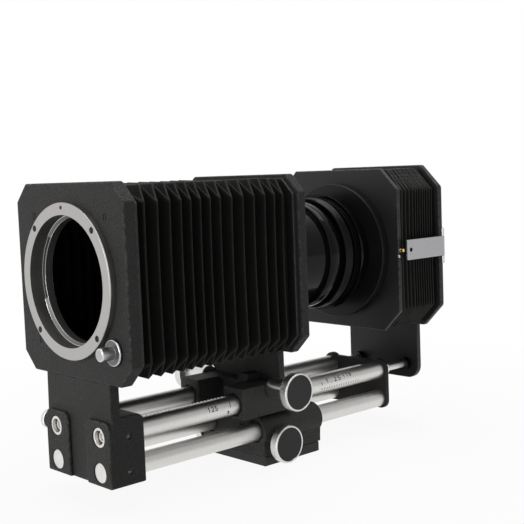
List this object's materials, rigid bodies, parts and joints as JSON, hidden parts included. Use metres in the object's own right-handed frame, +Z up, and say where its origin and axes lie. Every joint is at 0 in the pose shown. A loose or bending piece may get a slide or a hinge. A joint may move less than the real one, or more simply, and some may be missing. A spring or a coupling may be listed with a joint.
{
  "type": "close-up bellows unit",
  "caption": "Close-up bellows on rod rails: geared middle standard with knobs, tripod block, lens mount ring, and a sliding bellows hood with its collar.",
  "frame": {"origin": "mouth of the tripod socket in the base's lower face", "axes": "+X along the rails from the front plate to the hood, +Z up, +Y towards the side with the rod lock screw"},
  "size_m": [0.2365, 0.0985, 0.1557],
  "materials": {
    "wrinkle_paint": "fine wrinkle black paint",
    "smooth_paint": "smooth satin black paint",
    "gloss_black": "polished black",
    "satin_chrome": "satin",
    "bright_chrome": "polished",
    "steel": "machined",
    "dark_steel": "blackened",
    "bronze": "machined",
    "brass": "turned",
    "bright_aluminium": "satin",
    "black_inlay": "matte",
    "bellows_cloth": "matte coated cloth",
    "red_paint": "matte"
  },
  "bodies": {
    "tripod_block": {"tripod_block": "wrinkle_paint", "tripod_shoe": "smooth_paint", "socket_bush": "steel", "shoe_screws": "steel", "block_bushes": "bronze"},
    "block_pinion": {"block_pinion_shaft": "steel", "block_knob_near": "bright_aluminium", "block_knob_far": "bright_aluminium", "block_knob_discs": "black_inlay"},
    "rails": {"front_plate": "wrinkle_paint", "front_foot": "wrinkle_paint", "front_mount_ring": "satin_chrome", "claw_ring": "bright_chrome", "mount_ring_screws": "steel", "index_dot": "red_paint", "front_plate_screws": "dark_steel", "front_bellows_frame": "smooth_paint", "near_upper_tube": "satin_chrome", "far_upper_tube": "satin_chrome", "near_lower_rod": "satin_chrome", "far_lower_rod": "satin_chrome", "upper_rack": "steel", "lower_rack": "steel", "end_plate": "wrinkle_paint", "rod_guide_bushes": "bright_chrome", "end_plate_screws": "dark_steel", "foot_grub_screws": "dark_steel", "button_sleeve": "satin_chrome", "button_spring": "steel", "main_bellows": "bellows_cloth"},
    "release_button": {"release_button": "bright_chrome"},
    "rod_lock_screw": {"lock_screw": "wrinkle_paint", "lock_screw_rim": "bright_aluminium"},
    "mid_standard": {"mid_plate": "wrinkle_paint", "mid_carriage": "wrinkle_paint", "rear_mount_ring": "satin_chrome", "rear_plate_screws": "dark_steel", "rear_bellows_frame": "smooth_paint", "carriage_bushes": "bronze"},
    "mid_pinion": {"mid_pinion_shaft": "steel", "mid_knob_near": "bright_aluminium", "mid_knob_far": "bright_aluminium", "mid_knob_discs": "black_inlay"},
    "hood_carrier": {"hood_rods": "satin_chrome", "hood_leg": "smooth_paint", "leg_bushes": "dark_steel", "hood_leg_screws": "dark_steel", "hood_frame": "smooth_paint", "strap_hinge_ears": "bright_aluminium", "strap_pin": "steel"},
    "hood_rear": {"hood_rear_plate": "smooth_paint", "collar_flange": "gloss_black", "collar_sleeve": "gloss_black", "collar_grip_ring": "gloss_black", "collar_band": "gloss_black", "collar_rim": "gloss_black", "latch_stud": "brass", "hood_bellows": "bellows_cloth"},
    "strap": {"latch_strap": "bright_aluminium"}
  },
  "joints": [
    {"name": "rails_slide", "type": "slide", "parent": "tripod_block", "child": "rails", "axis": [1, 0, 0], "range_m": [-0.054, 0.076]},
    {"name": "block_pinion_turn", "type": "hinge", "parent": "tripod_block", "child": "block_pinion", "pos_m": [-0.0108, 0, 0.0115], "axis": [0, 1, 0], "range_deg": [-688, 968]},
    {"name": "mid_slide", "type": "slide", "parent": "rails", "child": "mid_standard", "axis": [1, 0, 0], "range_m": [-0.062, 0.004], "deforming": ["main_bellows"]},
    {"name": "mid_pinion_turn", "type": "hinge", "parent": "mid_standard", "child": "mid_pinion", "pos_m": [-0.014, 0, 0.0416], "axis": [0, 1, 0], "range_deg": [-790, 51]},
    {"name": "button_press", "type": "slide", "parent": "rails", "child": "release_button", "axis": [1, 0, 0], "range_m": [0, 0.0025], "stiffness_N_per_m": 400, "springref_m": -0.002, "deforming": ["button_spring"]},
    {"name": "rod_lock_turn", "type": "hinge", "parent": "rails", "child": "rod_lock_screw", "pos_m": [-0.113, 0.03, 0.035], "axis": [0, 1, 0], "range_deg": [0, 360]},
    {"name": "hood_slide", "type": "slide", "parent": "rails", "child": "hood_carrier", "axis": [1, 0, 0], "range_m": [-0.003, 0.15]},
    {"name": "hood_rear_slide", "type": "slide", "parent": "hood_carrier", "child": "hood_rear", "axis": [1, 0, 0], "range_m": [-0.0025, 0.0056], "deforming": ["hood_bellows"]},
    {"name": "strap_swing", "type": "hinge", "parent": "hood_carrier", "child": "strap", "pos_m": [0.104, -0.0493, 0.1082], "axis": [0, 0, 1], "range_deg": [-2, 150]}
  ],
  "couplings": [
    {"joint": "block_pinion_turn", "follows": "rails_slide", "rad_per_m": 222.22},
    {"joint": "mid_pinion_turn", "follows": "mid_slide", "rad_per_m": 222.22}
  ]
}
